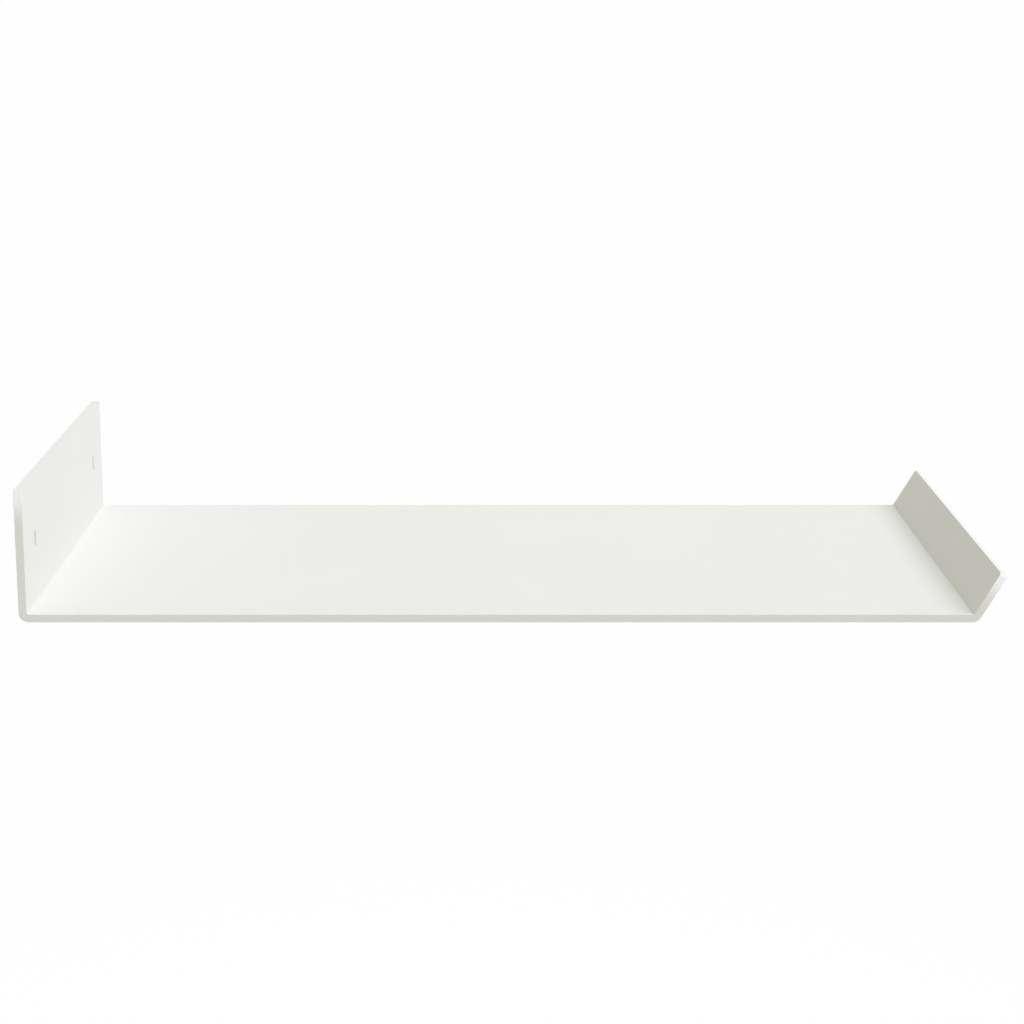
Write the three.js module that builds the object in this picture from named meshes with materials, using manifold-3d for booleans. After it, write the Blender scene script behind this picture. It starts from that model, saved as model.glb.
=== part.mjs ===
// Floating wall shelf: one thick plate folded up at both ends, on a rail that hides under its rear edge.
// Millimetres, +Z up, the front towards -Y. The wall is the plane y = 0.
// The origin is on the wall, at the middle of the rail and level with the wall screws.

import * as THREE from 'three';
import { mergeVertices, toCreasedNormals } from 'three/addons/utils/BufferGeometryUtils.js';
import Module from 'manifold-3d';

const wasm = await Module();
wasm.setup();

// Folded plate
const plateThickness = 6.35;
const shelfDepth = 254;
const shelfInnerLength = 731;
const tallEndInnerHeight = 100;
const leaningEndInnerLength = 39;
const leanFromUprightDegrees = 30;
const plateBendInnerRadius = 1;
const plateCornerRadius = 3;
const plateEdgeEase = 0.4;

// Narrow slots through the tall end, one near each side edge
const endSlotLength = 12.7;
const endSlotWidth = 2.6;
const endSlotEdgeDistance = 31.75;
const endSlotHeightShare = 0.5;

// Wall rail: a folded steel angle
const railThickness = 4;
const railDrop = 40;
const railReach = 50;
const railInsetFromBends = 55;
const railBendInnerRadius = 2;
const railCornerRadius = 6;
const railEdgeEase = 0.5;
const railEndMargin = 30;
const wallScrewLineDrop = 24;
const wallSlotLength = 14;
const wallSlotWidth = 6;
const plateScrewSetback = 30;

// Button-head machine screws that hold the plate down on the rail
const plateScrewCount = 5;
const plateScrewRadius = 2.5;
const plateScrewLength = 8;
const plateScrewHeadRadius = 4.75;
const plateScrewHeadHeight = 2.75;
const plateScrewSocketFlats = 3;
const plateScrewSocketDepth = 1.6;
const plateScrewTipChamfer = 0.6;

// Pan-head screws that go into the wall, each on a broad washer that bridges its slot
const wallScrewRadius = 2.5;
const wallScrewLength = 40;
const wallScrewTipLength = 6;
const wallScrewHeadRadius = 4.8;
const wallScrewHeadHeight = 3.2;
const wallScrewHeadRim = 1.1;
const wallScrewCrossSpan = 4.6;
const wallScrewCrossWidth = 1.1;
const wallScrewCrossDepth = 2;
const washerRadius = 7.5;
const washerThickness = 1.2;
const washerEdgeEase = 0.25;

// Clearances
const holeClearance = 0.3;
const blindHoleSpareDepth = 0.7;
const cutOverrun = 2;

// Facets
const easeSteps = 3;
const cornerSteps = 5;
const bendSteps = 12;
const roundSides = 24;
const domeSteps = 5;
const creaseDegrees = 35;

// Levels and places that follow from the sizes above
const plateUnderside = wallScrewLineDrop;
const shelfTop = plateUnderside + plateThickness;
const shelfLeft = -shelfInnerLength / 2;
const railLength = shelfInnerLength - 2 * railInsetFromBends;
const screwPitch = (railLength - 2 * railEndMargin) / (plateScrewCount - 1);
const wallScrewCount = plateScrewCount - 1;

// Solids and meshes

// A closed geometry as a solid that can be cut.
function solidOf(geometry) {
  const bare = geometry.clone();
  bare.deleteAttribute('normal');
  bare.deleteAttribute('uv');
  const merged = mergeVertices(bare);
  const vertProperties = new Float32Array(merged.attributes.position.array);
  const triVerts = new Uint32Array(merged.index.array);
  return new wasm.Manifold(new wasm.Mesh({ numProp: 3, vertProperties, triVerts }));
}

// A geometry with every cutter taken out of it.
function cut(geometry, cutters) {
  const left = cutters.reduce((solid, cutter) => solid.subtract(solidOf(cutter)), solidOf(geometry));
  const mesh = left.getMesh();
  const result = new THREE.BufferGeometry();
  result.setAttribute('position', new THREE.BufferAttribute(new Float32Array(mesh.vertProperties), 3));
  result.setIndex(new THREE.BufferAttribute(new Uint32Array(mesh.triVerts), 1));
  return result;
}

// A named mesh, with smooth shading across its curves and crisp edges between its faces.
function piece(name, geometry, material) {
  const shaded = toCreasedNormals(geometry, THREE.MathUtils.degToRad(creaseDegrees));
  const mesh = new THREE.Mesh(shaded, material);
  mesh.name = name;
  return mesh;
}

// Centred places along a row of evenly spaced pieces.
function rowPlaces(count, pitch) {
  return Array.from({ length: count }, (_, i) => (i - (count - 1) / 2) * pitch);
}

// Folded blanks

// Lays the runs of a blank one after another along its inner face, in the fold plane.
// A run with a turn is a left-hand bend; its length on the blank is that of the plate's middle.
function layRuns(runs, start, heading, bendRadius, thickness) {
  const middleRadius = bendRadius + thickness / 2;
  const at = start.clone();
  let angle = heading;
  let travelled = 0;
  return runs.map(({ straight = 0, turn = 0 }) => {
    const along = new THREE.Vector2(Math.cos(angle), Math.sin(angle));
    const inward = new THREE.Vector2(-along.y, along.x);
    const length = turn ? turn * middleRadius : straight;
    const run = { turn, along, inward, start: at.clone(), from: travelled, to: travelled + length };
    if (turn) {
      const centre = at.clone().addScaledVector(inward, bendRadius);
      at.rotateAround(centre, turn);
    } else {
      at.addScaledVector(along, straight);
    }
    angle += turn;
    travelled += length;
    return run;
  });
}

// Where a point of the flat blank goes in the fold plane.
// Depth is the distance below the inner face.
function foldedPoint(runs, bendRadius, onBlank, depth) {
  const run = runs.find((r) => onBlank <= r.to) ?? runs[runs.length - 1];
  if (run.turn === 0) {
    return run.start.clone()
      .addScaledVector(run.along, onBlank - run.from)
      .addScaledVector(run.inward, -depth);
  }
  const turned = run.turn * (onBlank - run.from) / (run.to - run.from);
  const centre = run.start.clone().addScaledVector(run.inward, bendRadius);
  const point = run.start.clone().addScaledVector(run.inward, -depth);
  return point.rotateAround(centre, turned);
}

// Depths below the inner face, each with how far the eased edge stands in from the outline there.
function easedLayers(thickness, ease) {
  const upper = Array.from({ length: easeSteps + 1 }, (_, i) => {
    const angle = (i / easeSteps) * Math.PI / 2;
    return { depth: ease * (1 - Math.cos(angle)), inset: ease * (1 - Math.sin(angle)) };
  });
  const lower = upper.map(({ depth, inset }) => ({ depth: thickness - depth, inset })).reverse();
  return [...upper, ...lower];
}

// One long side of the blank's outline, from end to end: places along the blank and half widths.
function sideOfOutline(runs, width, cornerRadius, inset) {
  const blankLength = runs[runs.length - 1].to;
  const arc = Array.from({ length: cornerSteps + 1 }, (_, i) => {
    const angle = (i / cornerSteps) * Math.PI / 2;
    return {
      along: cornerRadius - (cornerRadius - inset) * Math.cos(angle),
      half: width / 2 - cornerRadius + (cornerRadius - inset) * Math.sin(angle),
    };
  });
  const bends = runs.filter((r) => r.turn).flatMap((r) =>
    Array.from({ length: bendSteps + 1 }, (_, i) => ({
      along: r.from + (r.to - r.from) * (i / bendSteps),
      half: width / 2 - inset,
    })));
  const farArc = arc.map(({ along, half }) => ({ along: blankLength - along, half })).reverse();
  return [...arc, ...bends, ...farArc];
}

// A flat blank with rounded corners and eased edges, folded along its bends.
// The fold plane is x and z, the blank's width lies along y and is centred on y = 0.
function foldedBlank({ runs, start, heading, width, thickness, bendRadius, cornerRadius, ease }) {
  const laid = layRuns(runs, start, heading, bendRadius, thickness);
  const layers = easedLayers(thickness, ease);
  const positions = [];
  let stations = 0;
  for (const { depth, inset } of layers) {
    const side = sideOfOutline(laid, width, cornerRadius, inset);
    stations = side.length;
    const folded = side.map(({ along, half }) => ({ half, at: foldedPoint(laid, bendRadius, along, depth) }));
    for (const { half, at } of folded) {
      positions.push(at.x, -half, at.y);
    }
    for (const { half, at } of [...folded].reverse()) {
      positions.push(at.x, half, at.y);
    }
  }
  const geometry = new THREE.BufferGeometry();
  geometry.setAttribute('position', new THREE.Float32BufferAttribute(positions, 3));
  geometry.setIndex(shellFaces(layers.length, stations));
  return geometry;
}

// Triangles of a closed shell of stacked rings: both faces as ladders across, and the edge all round.
function shellFaces(layerCount, stations) {
  const ring = 2 * stations;
  const faces = [];
  const quad = (a, b, c, d) => faces.push(a, b, c, a, c, d);
  const last = (layerCount - 1) * ring;
  for (let j = 0; j < stations - 1; j += 1) {
    const near = [j, j + 1];
    const far = [ring - 2 - j, ring - 1 - j];
    quad(near[0], near[1], far[0], far[1]);
    quad(last + near[1], last + near[0], last + far[1], last + far[0]);
  }
  for (let k = 0; k < layerCount - 1; k += 1) {
    for (let i = 0; i < ring; i += 1) {
      const next = (i + 1) % ring;
      quad(k * ring + i, (k + 1) * ring + i, (k + 1) * ring + next, k * ring + next);
    }
  }
  return faces;
}

// Cutters

// A slot with round ends, long way along x, cut along z and centred on the origin.
function slotCutter(length, width, depth) {
  const radius = width / 2;
  const reach = length / 2 - radius;
  const outline = new THREE.Shape();
  outline.absarc(reach, 0, radius, -Math.PI / 2, Math.PI / 2, false);
  outline.absarc(-reach, 0, radius, Math.PI / 2, 3 * Math.PI / 2, false);
  outline.closePath();
  const geometry = new THREE.ExtrudeGeometry(outline, {
    depth,
    bevelEnabled: false,
    curveSegments: roundSides / 2,
  });
  return geometry.translate(0, 0, -depth / 2);
}

// A round hole along z, from one level to another.
function holeCutter(radius, x, y, fromLevel, toLevel) {
  const height = toLevel - fromLevel;
  const geometry = new THREE.CylinderGeometry(radius, radius, height, roundSides);
  geometry.rotateX(Math.PI / 2);
  return geometry.translate(x, y, fromLevel + height / 2);
}

// Pieces

function shelfPlate(material) {
  const geometry = foldedBlank({
    runs: [
      { straight: tallEndInnerHeight - plateBendInnerRadius },
      { turn: Math.PI / 2 },
      { straight: shelfInnerLength - plateBendInnerRadius - leaningBendSetback() },
      { turn: THREE.MathUtils.degToRad(90 - leanFromUprightDegrees) },
      { straight: leaningEndInnerLength - leaningBendSetback() },
    ],
    start: new THREE.Vector2(shelfLeft, shelfTop + tallEndInnerHeight),
    heading: -Math.PI / 2,
    width: shelfDepth,
    thickness: plateThickness,
    bendRadius: plateBendInnerRadius,
    cornerRadius: plateCornerRadius,
    ease: plateEdgeEase,
  });
  geometry.translate(0, -shelfDepth / 2, 0);
  return piece('shelf_plate', cut(geometry, [...endSlotCutters(), ...blindHoleCutters()]), material);
}

// How much of a flat length the inner radius of the leaning end's bend takes up.
function leaningBendSetback() {
  const turn = THREE.MathUtils.degToRad(90 - leanFromUprightDegrees);
  return plateBendInnerRadius * Math.tan(turn / 2);
}

function endSlotCutters() {
  const throughPlate = plateThickness + 2 * cutOverrun;
  const level = shelfTop + endSlotHeightShare * tallEndInnerHeight;
  return [-endSlotEdgeDistance, endSlotEdgeDistance - shelfDepth].map((y) => {
    const cutter = slotCutter(endSlotLength, endSlotWidth, throughPlate);
    cutter.rotateY(Math.PI / 2);
    return cutter.translate(shelfLeft - plateThickness / 2, y, level);
  });
}

function blindHoleCutters() {
  const depth = plateScrewLength - railThickness + blindHoleSpareDepth;
  return rowPlaces(plateScrewCount, screwPitch).map((x) => holeCutter(
    plateScrewRadius + holeClearance,
    x,
    -plateScrewSetback,
    plateUnderside - cutOverrun,
    plateUnderside + depth,
  ));
}

// The rail is folded in a plane that looks along the wall, then turned to face the room.
function wallRail(material) {
  const geometry = foldedBlank({
    runs: [
      { straight: railReach - railThickness - railBendInnerRadius },
      { turn: Math.PI / 2 },
      { straight: railDrop - railThickness - railBendInnerRadius },
    ],
    start: new THREE.Vector2(railReach, plateUnderside - railThickness),
    heading: Math.PI,
    width: railLength,
    thickness: railThickness,
    bendRadius: railBendInnerRadius,
    cornerRadius: railCornerRadius,
    ease: railEdgeEase,
  });
  geometry.rotateZ(-Math.PI / 2);
  const plateHoles = rowPlaces(plateScrewCount, screwPitch).map((x) => holeCutter(
    plateScrewRadius + holeClearance,
    x,
    -plateScrewSetback,
    plateUnderside - railThickness - cutOverrun,
    plateUnderside + cutOverrun,
  ));
  const wallSlots = rowPlaces(wallScrewCount, screwPitch).map((x) => {
    const cutter = slotCutter(wallSlotLength, wallSlotWidth, railThickness + 2 * cutOverrun);
    cutter.rotateX(Math.PI / 2);
    return cutter.translate(x, -railThickness / 2, 0);
  });
  return piece('wall_rail', cut(geometry, [...plateHoles, ...wallSlots]), material);
}

// Half outline of a domed head, from the axis to the rim. The head stands on y = 0 and reaches down.
function domeOutline(radius, height, rim) {
  const rise = height - rim;
  const sphere = (radius ** 2 + rise ** 2) / (2 * rise);
  const centre = rise - sphere;
  return Array.from({ length: domeSteps + 1 }, (_, i) => {
    const across = radius * (i / domeSteps);
    const up = centre + Math.sqrt(sphere ** 2 - across ** 2);
    return new THREE.Vector2(across, -rim - up);
  });
}

// A plate screw stands with its head down, its shank along +y of the outline.
function plateScrewGeometry() {
  const outline = [
    ...domeOutline(plateScrewHeadRadius, plateScrewHeadHeight, 0),
    new THREE.Vector2(plateScrewRadius, 0),
    new THREE.Vector2(plateScrewRadius, plateScrewLength - plateScrewTipChamfer),
    new THREE.Vector2(plateScrewRadius - plateScrewTipChamfer, plateScrewLength),
    new THREE.Vector2(0, plateScrewLength),
  ];
  const blank = new THREE.LatheGeometry(outline, roundSides);
  const socketRadius = plateScrewSocketFlats / 2 / Math.cos(Math.PI / 6);
  const socketHeight = plateScrewSocketDepth + cutOverrun;
  const socket = new THREE.CylinderGeometry(socketRadius, socketRadius, socketHeight, 6);
  socket.translate(0, plateScrewSocketDepth - plateScrewHeadHeight - socketHeight / 2, 0);
  return cut(blank, [socket]);
}

function plateScrews(material) {
  return rowPlaces(plateScrewCount, screwPitch).map((x, i) => {
    const screw = piece(`plate_screw_${i + 1}`, plateScrewGeometry(), material);
    screw.rotation.x = Math.PI / 2;
    screw.position.set(x, -plateScrewSetback, plateUnderside - railThickness);
    return screw;
  });
}

// A wall screw points along +y, with the seat of its head at y = 0.
function wallScrewGeometry() {
  const outline = [
    ...domeOutline(wallScrewHeadRadius, wallScrewHeadHeight, wallScrewHeadRim),
    new THREE.Vector2(wallScrewHeadRadius, 0),
    new THREE.Vector2(wallScrewRadius, 0),
    new THREE.Vector2(wallScrewRadius, wallScrewLength - wallScrewTipLength),
    new THREE.Vector2(0, wallScrewLength),
  ];
  const blank = new THREE.LatheGeometry(outline, roundSides);
  const crossHeight = wallScrewCrossDepth + cutOverrun;
  const crossMiddle = wallScrewCrossDepth - wallScrewHeadHeight - crossHeight / 2;
  const bars = [0, Math.PI / 2].map((turn) => {
    const bar = new THREE.BoxGeometry(wallScrewCrossSpan, crossHeight, wallScrewCrossWidth);
    bar.rotateY(turn);
    return bar.translate(0, crossMiddle, 0);
  });
  return cut(blank, bars);
}

function wallScrews(material) {
  return rowPlaces(wallScrewCount, screwPitch).map((x, i) => {
    const screw = piece(`wall_screw_${i + 1}`, wallScrewGeometry(), material);
    screw.position.set(x, -railThickness - washerThickness, 0);
    return screw;
  });
}

function washerGeometry() {
  const bore = wallScrewRadius + holeClearance;
  const outline = [
    new THREE.Vector2(bore, 0),
    new THREE.Vector2(washerRadius - washerEdgeEase, 0),
    new THREE.Vector2(washerRadius, washerEdgeEase),
    new THREE.Vector2(washerRadius, washerThickness),
    new THREE.Vector2(bore, washerThickness),
    new THREE.Vector2(bore, 0),
  ];
  return new THREE.LatheGeometry(outline, roundSides);
}

function wallWashers(material) {
  return rowPlaces(wallScrewCount, screwPitch).map((x, i) => {
    const washer = piece(`wall_washer_${i + 1}`, washerGeometry(), material);
    washer.position.set(x, -railThickness - washerThickness, 0);
    return washer;
  });
}

// Finishes

function whitePowderCoat() {
  return new THREE.MeshStandardMaterial({ color: 0xf3f3ee, roughness: 0.55, metalness: 0 });
}

function zincPlate() {
  return new THREE.MeshStandardMaterial({ color: 0xb9bcbd, roughness: 0.35, metalness: 0.9 });
}

// The shelf

function wallShelf() {
  const shelf = new THREE.Group();
  shelf.add(shelfPlate(whitePowderCoat()));
  const wallFixing = new THREE.Group();
  wallFixing.add(wallRail(whitePowderCoat()));
  wallFixing.add(...plateScrews(zincPlate()));
  wallFixing.add(...wallWashers(zincPlate()));
  wallFixing.add(...wallScrews(zincPlate()));
  shelf.add(wallFixing);
  return shelf;
}

export default wallShelf();
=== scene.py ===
"""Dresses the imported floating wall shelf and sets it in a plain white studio.

The shelf is one thick white plate, folded up at both ends. It stands on a steel rail under its rear
edge: machine screws hold the plate down on the rail, and wall screws on broad washers hold the rail
to the wall. Lengths are in metres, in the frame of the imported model: +Z up, the wall at y = 0, the
front towards -Y.
"""

import logging
import math
from collections.abc import Sequence
from dataclasses import dataclass, field
from enum import Enum

import bmesh
import bpy
from bpy.types import ID, Material, Mesh, Node, NodeSocket, Object, World
from mathutils import Matrix, Vector


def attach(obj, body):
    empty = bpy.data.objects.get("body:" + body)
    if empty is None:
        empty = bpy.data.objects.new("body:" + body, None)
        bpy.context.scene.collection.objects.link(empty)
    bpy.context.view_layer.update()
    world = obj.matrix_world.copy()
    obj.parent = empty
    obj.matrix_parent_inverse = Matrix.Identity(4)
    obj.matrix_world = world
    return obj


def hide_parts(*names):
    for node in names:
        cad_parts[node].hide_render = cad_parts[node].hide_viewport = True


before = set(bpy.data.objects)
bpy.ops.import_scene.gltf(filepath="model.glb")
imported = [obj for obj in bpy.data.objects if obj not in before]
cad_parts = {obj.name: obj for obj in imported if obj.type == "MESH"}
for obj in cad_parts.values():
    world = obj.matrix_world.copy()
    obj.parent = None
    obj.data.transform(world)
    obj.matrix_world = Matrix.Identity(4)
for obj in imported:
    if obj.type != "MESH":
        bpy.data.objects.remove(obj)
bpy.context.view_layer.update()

log = logging.getLogger("wall_shelf")

BODY = "root"
MERGE_DISTANCE = 1e-6
CREASE_DEGREES = 35
NORMAL_WEIGHT = 90

# An eased edge turns by 15 degrees at each step, and the inside of a bend by 1.7 to 2.5.
EDGE_ATTRIBUTE = "edge_share"
EDGE_FLAT_DEGREES = 12
EDGE_FULL_DEGREES = 14.5
# The hollow share masks the painted shade in the inside corners of the bends.
HOLLOW_ATTRIBUTE = "hollow_share"
HOLLOW_FLAT_DEGREES = 1.3
HOLLOW_FULL_DEGREES = 1.6

# Shares of a rim's radius: how far a cutter stands off the face, and how wide it is there.
RIM_STAND_OFF = 0.05
RIM_FLARE = 1.5
RIM_STEPS = 4
HOLE_SIDES = 48

# Turned pieces: steps round a soft edge, a crisp one and a domed head, and the head's flat share.
SOFT_STEPS = 4
CRISP_STEPS = 3
DOME_STEPS = 12
CROWN_SHARE = 0.08

# The drill's tip, as a share of its radius.
DRILL_TIP_SHARE = 0.125

# Where the middle of a noise starts and ends, and the pitch of a ring texture at scale 1.
NOISE_LOW = 0.3
NOISE_HIGH = 0.7
RING_PITCH = math.pi / 10

Places = Sequence[Vector]
Colour = tuple[float, float, float]
ProfilePoint = tuple[float, float]

WHITE: Colour = (1, 1, 1)


class Slot(Enum):
    """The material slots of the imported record."""

    PLATE_COAT = "plate_coat"
    RAIL_COAT = "rail_coat"
    ZINC = "zinc"


# Bodies and meshes


@dataclass
class Shell:
    """A closed body as points and faces, before it becomes a mesh."""

    points: list[Vector] = field(default_factory=list)
    faces: list[tuple[int, ...]] = field(default_factory=list)

    def add(self, points: Places) -> list[int]:
        """Adds points.

        Args:
            points: the points, in order.

        Returns:
            Their numbers in the shell.
        """
        first = len(self.points)
        self.points.extend(Vector(p) for p in points)
        return list(range(first, len(self.points)))

    def bridge(self, near: Sequence[int], far: Sequence[int]) -> None:
        """Joins two closed rings of the same count with a band of faces.

        Args:
            near: point numbers of one ring.
            far: point numbers of the other ring, in the same order.
        """
        for i in range(len(near)):
            j = (i + 1) % len(near)
            self.faces.append((near[i], near[j], far[j], far[i]))

    def stack(self, rings: Sequence[Places], open_end: bool = False) -> "Shell":
        """Adds a body made of stacked rings, closed by a face over each end.

        Args:
            rings: closed rings of the same count, from one end to the other.
            open_end: leaves the last ring open, for what goes on from there.

        Returns:
            The shell itself.
        """
        numbers = [self.add(ring) for ring in rings]
        for near, far in zip(numbers, numbers[1:]):
            self.bridge(near, far)
        self.faces.append(tuple(numbers[0]))
        if not open_end:
            self.faces.append(tuple(numbers[-1]))
        return self

    def hoop(self, rings: Sequence[Places]) -> "Shell":
        """Adds a body with a hole through it: rings, with the last joined to the first.

        Args:
            rings: closed rings of the same count, in order round the section.

        Returns:
            The shell itself.
        """
        numbers = [self.add(ring) for ring in rings]
        for near, far in zip(numbers, numbers[1:] + numbers[:1]):
            self.bridge(near, far)
        return self

    def take(self, other: "Shell") -> None:
        """Adds the points and faces of another body."""
        numbers = self.add(other.points)
        self.faces.extend(tuple(numbers[i] for i in face) for face in other.faces)

    def placed(self, matrix: Matrix) -> "Shell":
        """A copy of the body, moved and turned by the matrix."""
        return Shell([matrix @ p for p in self.points], list(self.faces))

    def mesh(self, name: str) -> Mesh:
        """Makes the mesh, with doubled points merged and every face looking outward.

        Args:
            name: the mesh's name.

        Returns:
            The mesh.
        """
        work = bmesh.new()
        verts = [work.verts.new(p) for p in self.points]
        for face in self.faces:
            work.faces.new([verts[i] for i in face])
        bmesh.ops.remove_doubles(work, verts=work.verts, dist=MERGE_DISTANCE)
        bmesh.ops.recalc_face_normals(work, faces=work.faces)
        made = bpy.data.meshes.new(name)
        work.to_mesh(made)
        work.free()
        return made


def circle(radius: float, level: float, sides: int) -> list[Vector]:
    """A ring of points about the z axis, counterclockwise from +x."""
    turns = (2 * math.pi * i / sides for i in range(sides))
    return [Vector((radius * math.cos(t), radius * math.sin(t), level)) for t in turns]


def lathe(profile: Sequence[ProfilePoint], sides: int) -> list[list[Vector]]:
    """The rings of a turned body, one for each radius and height of its profile."""
    return [circle(radius, level, sides) for radius, level in profile]


def quarter(steps: int) -> list[tuple[float, float]]:
    """Sine and cosine at even steps over a quarter turn, from (0, 1) to (1, 0)."""
    angles = (i / steps * math.pi / 2 for i in range(steps + 1))
    return [(math.sin(a), math.cos(a)) for a in angles]


def row_places(count: int, pitch: float) -> list[float]:
    """Centred places along a row of pieces that stand a pitch apart, from low to high."""
    return [(i - (count - 1) / 2) * pitch for i in range(count)]


def settle(body: Object) -> None:
    """Turns a body's modifiers into its mesh.

    Args:
        body: the object, whose modifiers are used up.
    """
    bpy.context.view_layer.update()
    graph = bpy.context.evaluated_depsgraph_get()
    made = bpy.data.meshes.new_from_object(
        body.evaluated_get(graph), preserve_all_data_layers=True, depsgraph=graph
    )
    old = body.data
    made.name = old.name + "_made"
    body.modifiers.clear()
    body.data = made
    bpy.data.meshes.remove(old)


def link(name: str, data: ID) -> Object:
    """Puts a mesh, a lamp or a camera in the scene.

    Args:
        name: the object's name.
        data: what it holds.

    Returns:
        The object.
    """
    body = bpy.data.objects.new(name, data)
    bpy.context.scene.collection.objects.link(body)
    return body


def carve(body: Object, cutters: Sequence[Shell]) -> None:
    """Cuts closed shells out of a body. The cutting tool goes away with its mesh.

    Args:
        body: the object to cut.
        cutters: shells that don't touch each other.
    """
    whole = Shell()
    for cutter in cutters:
        whole.take(cutter)
    tool = link("cutter", whole.mesh("cutter"))
    cut = body.modifiers.new("cut", "BOOLEAN")
    cut.operation = "DIFFERENCE"
    cut.solver = "EXACT"
    cut.object = tool
    settle(body)
    bpy.data.meshes.remove(tool.data)


def shade(body: Object) -> None:
    """Shades curves smoothly and keeps flats flat, then marks edges and inside corners.

    Args:
        body: the object to shade.
    """
    body.data.shade_smooth()
    body.data.set_sharp_from_angle(angle=math.radians(CREASE_DEGREES))
    weights = body.modifiers.new("weights", "WEIGHTED_NORMAL")
    weights.keep_sharp = True
    weights.weight = NORMAL_WEIGHT
    settle(body)
    mark_turns(body.data)


def finished(name: str, shell: Shell, cutters: Sequence[Shell] = ()) -> Object:
    """Puts a body in the scene, cut and shaded.

    Args:
        name: its name.
        shell: its form before it is cut.
        cutters: the shells to cut out of it.

    Returns:
        The object.
    """
    body = link(name, shell.mesh(name))
    if cutters:
        carve(body, cutters)
    shade(body)
    return body


def mark_turns(mesh: Mesh) -> None:
    """Stores two shares for each point: how far it is on an edge, and in an inside corner.

    Args:
        mesh: the mesh that gets the attributes.
    """
    work = bmesh.new()
    work.from_mesh(mesh)
    turns = [[edge.calc_face_angle_signed(0) for edge in v.link_edges] for v in work.verts]
    work.free()
    steepest = [max(abs(turn) for turn in around) for around in turns]
    deepest = [-min(around) for around in turns]
    store_shares(mesh, EDGE_ATTRIBUTE, steepest, EDGE_FLAT_DEGREES, EDGE_FULL_DEGREES)
    store_shares(mesh, HOLLOW_ATTRIBUTE, deepest, HOLLOW_FLAT_DEGREES, HOLLOW_FULL_DEGREES)


def store_shares(
    mesh: Mesh, name: str, turns: Sequence[float], low: float, high: float
) -> None:
    """Stores a share for each point, from how much the surface turns there.

    Args:
        mesh: the mesh that gets the attribute.
        name: the attribute's name.
        turns: the turn at each point, in radians.
        low: the turn in degrees below which the share is 0.
        high: the turn in degrees from which it is 1.
    """
    shares = [(math.degrees(turn) - low) / (high - low) for turn in turns]
    attribute = mesh.attributes.new(name, "FLOAT", "POINT")
    attribute.data.foreach_set("value", [min(1.0, max(0.0, share)) for share in shares])


# Materials


class NodeTree:
    """A node tree, with short calls that add nodes and wire them up."""

    def __init__(self, owner: Material | World) -> None:
        """Empties the owner's tree.

        Args:
            owner: the material or world to build in.
        """
        owner.use_nodes = True
        self.tree = owner.node_tree
        self.tree.nodes.clear()

    def add(self, kind: str, inputs: dict | None = None, **settings: str | bool) -> Node:
        """Adds a node.

        Args:
            kind: the shader node's type.
            inputs: its sockets by name or number, each with a value, a colour or what feeds it.
            settings: the node's own settings.

        Returns:
            The node.
        """
        node = self.tree.nodes.new("ShaderNode" + kind)
        for name, value in settings.items():
            setattr(node, name, value)
        for name, value in (inputs or {}).items():
            if isinstance(value, NodeSocket):
                self.tree.links.new(value, node.inputs[name])
            elif isinstance(value, tuple):
                node.inputs[name].default_value = (*value, 1)
            else:
                node.inputs[name].default_value = value
        return node

    def places(self) -> NodeSocket:
        """Coordinates in the object's own frame, in metres."""
        return self.add("TexCoord").outputs["Object"]

    def share(self, name: str) -> NodeSocket:
        """The share that the mesh stores under a name."""
        return self.add("Attribute", attribute_name=name).outputs["Fac"]

    def noise(self, at: NodeSocket, size: float, detail: float) -> NodeSocket:
        """A noise of about 0 to 1, with bumps of a size and finer layers of detail on them."""
        inputs = {"Vector": at, "Scale": 1 / size, "Detail": detail}
        return self.add("TexNoise", inputs).outputs[0]

    def math(self, operation: str, *values: float | NodeSocket) -> NodeSocket:
        """The result of a Math node's operation on values or sockets, in order."""
        return self.add("Math", dict(enumerate(values)), operation=operation).outputs[0]

    def spread(self, noise: NodeSocket, middle: float, reach: float) -> NodeSocket:
        """A noise whose middle part is spread by a reach to both sides of a middle value."""
        inputs = {"Value": noise, 1: NOISE_LOW, 2: NOISE_HIGH, 3: middle - reach, 4: middle + reach}
        return self.add("MapRange", inputs, clamp=True).outputs[0]

    def blend(self, share: NodeSocket, first: Colour | NodeSocket, second: Colour) -> NodeSocket:
        """The first colour at a share of 0, the second at a share of 1."""
        inputs = {0: share, 6: first, 7: second}
        return self.add("Mix", inputs, data_type="RGBA").outputs[2]

    def surface(
        self, colour: NodeSocket, rough: NodeSocket, relief: NodeSocket, metallic: float = 0
    ) -> None:
        """Ends a material's tree.

        Args:
            colour: the surface's colour.
            rough: its roughness.
            relief: the height of its fine relief, in metres.
            metallic: 1 for bare metal, 0 for anything else.
        """
        bump = self.add("Bump", {"Strength": 1.0, "Distance": 1.0, "Height": relief})
        shader = self.add("BsdfPrincipled", {
            "Base Color": colour,
            "Metallic": metallic,
            "Roughness": rough,
            "Normal": bump.outputs[0],
        })
        self.add("OutputMaterial", {"Surface": shader.outputs[0]})


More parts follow.
